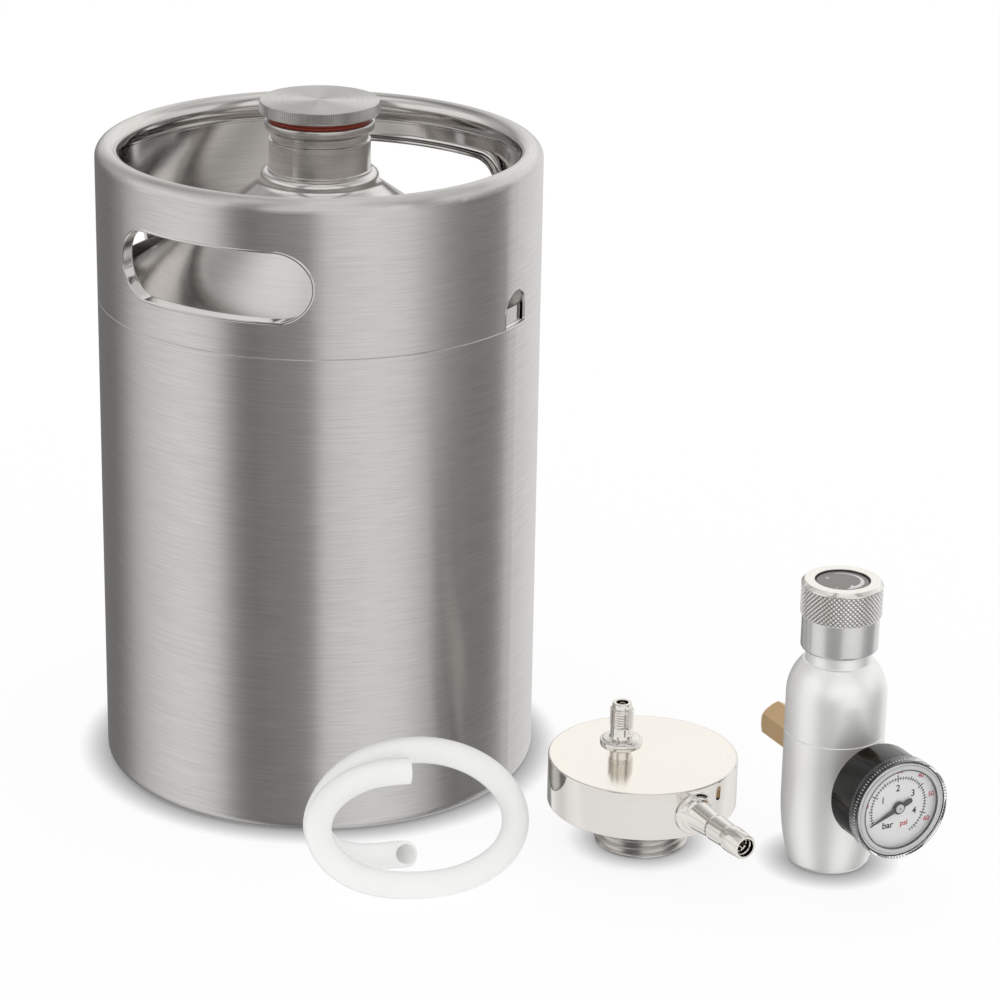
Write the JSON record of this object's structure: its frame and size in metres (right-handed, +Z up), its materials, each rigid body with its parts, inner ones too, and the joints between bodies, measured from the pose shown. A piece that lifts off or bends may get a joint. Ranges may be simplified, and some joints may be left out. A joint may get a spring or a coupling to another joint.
{
  "type": "mini keg beer dispenser",
  "caption": "Mini keg with collar, hand slots and screw cap, beside its dispensing head, pressure regulator with gauge, and beer hose.",
  "frame": {"origin": "on the keg's axis, at the floor that the keg stands on", "axes": "+Z up along the keg's axis; the front hand slot looks along -Y, and the head, regulator and hose lie on the +X side"},
  "size_m": [0.3717, 0.2133, 0.2771],
  "materials": {
    "brushed_steel": "brushed level round the body, satin on the rim",
    "seal_red": "matt",
    "polished_steel": "mirror polished",
    "satin_aluminium": "bead blasted and clear anodised",
    "spring_steel": "drawn wire and turned steel",
    "brass": "turned, slightly dull",
    "black_rubber": "matt",
    "white_nylon": "matt",
    "gloss_black": "gloss",
    "clear_plastic": "clear, polished",
    "dial_white": "printed white card",
    "needle_grey": "matt dark grey",
    "label_grey": "satin",
    "hose_milky": "milky, translucent, smooth"
  },
  "bodies": {
    "keg": {"vessel_shell": "brushed_steel", "bottom_dish": "brushed_steel", "shoulder_cone": "brushed_steel", "neck": "brushed_steel", "collar": "brushed_steel"},
    "cap_seal": {"cap_seal": "seal_red"},
    "cap": {"screw_cap": "brushed_steel"},
    "head": {"head_body": "polished_steel", "head_seal": "black_rubber", "gas_post": "polished_steel", "check_valve_spring": "spring_steel", "hose_barb": "polished_steel"},
    "check_ball": {"check_valve_ball": "spring_steel"},
    "regulator": {"regulator_body": "satin_aluminium", "regulator_bonnet": "satin_aluminium", "bonnet_gasket": "black_rubber", "inlet_seal": "black_rubber", "inlet_bush": "brass", "pierce_pin": "spring_steel", "valve_seat": "white_nylon", "poppet_spring": "spring_steel", "adjusting_spring": "spring_steel", "outlet_stem": "brass", "outlet_washer": "white_nylon", "gauge_stem": "brass", "gauge_case": "gloss_black", "gauge_lens": "clear_plastic", "gauge_dial": "dial_white", "movement_frame": "brass", "bourdon_tube": "brass"},
    "spring_button": {"spring_button": "brass"},
    "knob": {"pressure_knob": "polished_steel", "knob_label": "label_grey", "adjusting_screw": "spring_steel"},
    "piston": {"piston": "satin_aluminium", "piston_ring": "black_rubber"},
    "poppet": {"valve_poppet": "brass"},
    "nut": {"outlet_nut": "brass"},
    "sector": {"sector_gear": "brass"},
    "link": {"movement_link": "brass"},
    "needle": {"gauge_needle": "needle_grey", "gauge_pinion": "brass"},
    "hose": {"beer_hose": "hose_milky"}
  },
  "joints": [
    {"name": "cap_rise", "type": "slide", "parent": "keg", "child": "cap_seal", "axis": [0, 0, 1], "range_m": [0, 0.012]},
    {"name": "cap_turn", "type": "hinge", "parent": "cap_seal", "child": "cap", "pos_m": [0, 0, 0.27], "axis": [0, 0, 1], "range_deg": [0, 1440]},
    {"name": "head_lift", "type": "slide", "parent": "keg", "child": "head", "axis": [0, 0, 1], "range_m": [0, 0.15]},
    {"name": "check_ball_slide", "type": "slide", "parent": "head", "child": "check_ball", "axis": [0, 0, -1], "range_m": [0, 0.0015], "stiffness_N_per_m": 60, "springref_m": -0.002, "deforming": ["check_valve_spring"]},
    {"name": "regulator_lift", "type": "slide", "parent": "keg", "child": "regulator", "axis": [0, 0, 1], "range_m": [0, 0.15]},
    {"name": "knob_travel", "type": "slide", "parent": "regulator", "child": "spring_button", "axis": [0, 0, -1], "range_m": [0, 0.0045], "deforming": ["adjusting_spring"]},
    {"name": "knob_turn", "type": "hinge", "parent": "spring_button", "child": "knob", "pos_m": [0.23049, 0.00161, 0.1], "axis": [0, 0, -1], "range_deg": [0, 1080]},
    {"name": "piston_slide", "type": "slide", "parent": "regulator", "child": "piston", "axis": [0, 0, -1], "range_m": [0, 0.0006]},
    {"name": "poppet_slide", "type": "slide", "parent": "regulator", "child": "poppet", "axis": [0, 0, -1], "range_m": [0, 0.0006], "deforming": ["poppet_spring"]},
    {"name": "nut_spin", "type": "hinge", "parent": "regulator", "child": "nut", "pos_m": [0.19935, 0.02424, 0.0425], "axis": [-0.809, 0.5878, 0], "continuous": true},
    {"name": "sector_turn", "type": "hinge", "parent": "regulator", "child": "sector", "pos_m": [0.26083, -0.02043, 0.032], "axis": [0.809, -0.5878, 0], "range_deg": [0, 43.7], "stiffness_Nm_per_rad": 0.002, "springref_deg": -11.46, "deforming": ["bourdon_tube"]},
    {"name": "link_turn", "type": "hinge", "parent": "sector", "child": "link", "pos_m": [0.2637, -0.01862, 0.02954], "axis": [0.809, -0.5878, 0], "range_deg": [-44, 0]},
    {"name": "needle_turn", "type": "hinge", "parent": "regulator", "child": "needle", "pos_m": [0.26083, -0.02043, 0.0425], "axis": [-0.809, 0.5878, 0], "range_deg": [0, 263]},
    {"name": "hose_lift", "type": "slide", "parent": "keg", "child": "hose", "axis": [0, 0, 1], "range_m": [0, 0.15]}
  ],
  "couplings": [
    {"joint": "cap_rise", "follows": "cap_turn", "m_per_rad": 0.00047746},
    {"joint": "knob_travel", "follows": "knob_turn", "m_per_rad": 0.00023873},
    {"joint": "piston_slide", "follows": "knob_turn", "m_per_rad": 0.000031831},
    {"joint": "poppet_slide", "follows": "knob_turn", "m_per_rad": 0.000031831},
    {"joint": "needle_turn", "follows": "sector_turn", "ratio": 6},
    {"joint": "link_turn", "follows": "sector_turn", "ratio": -1}
  ]
}
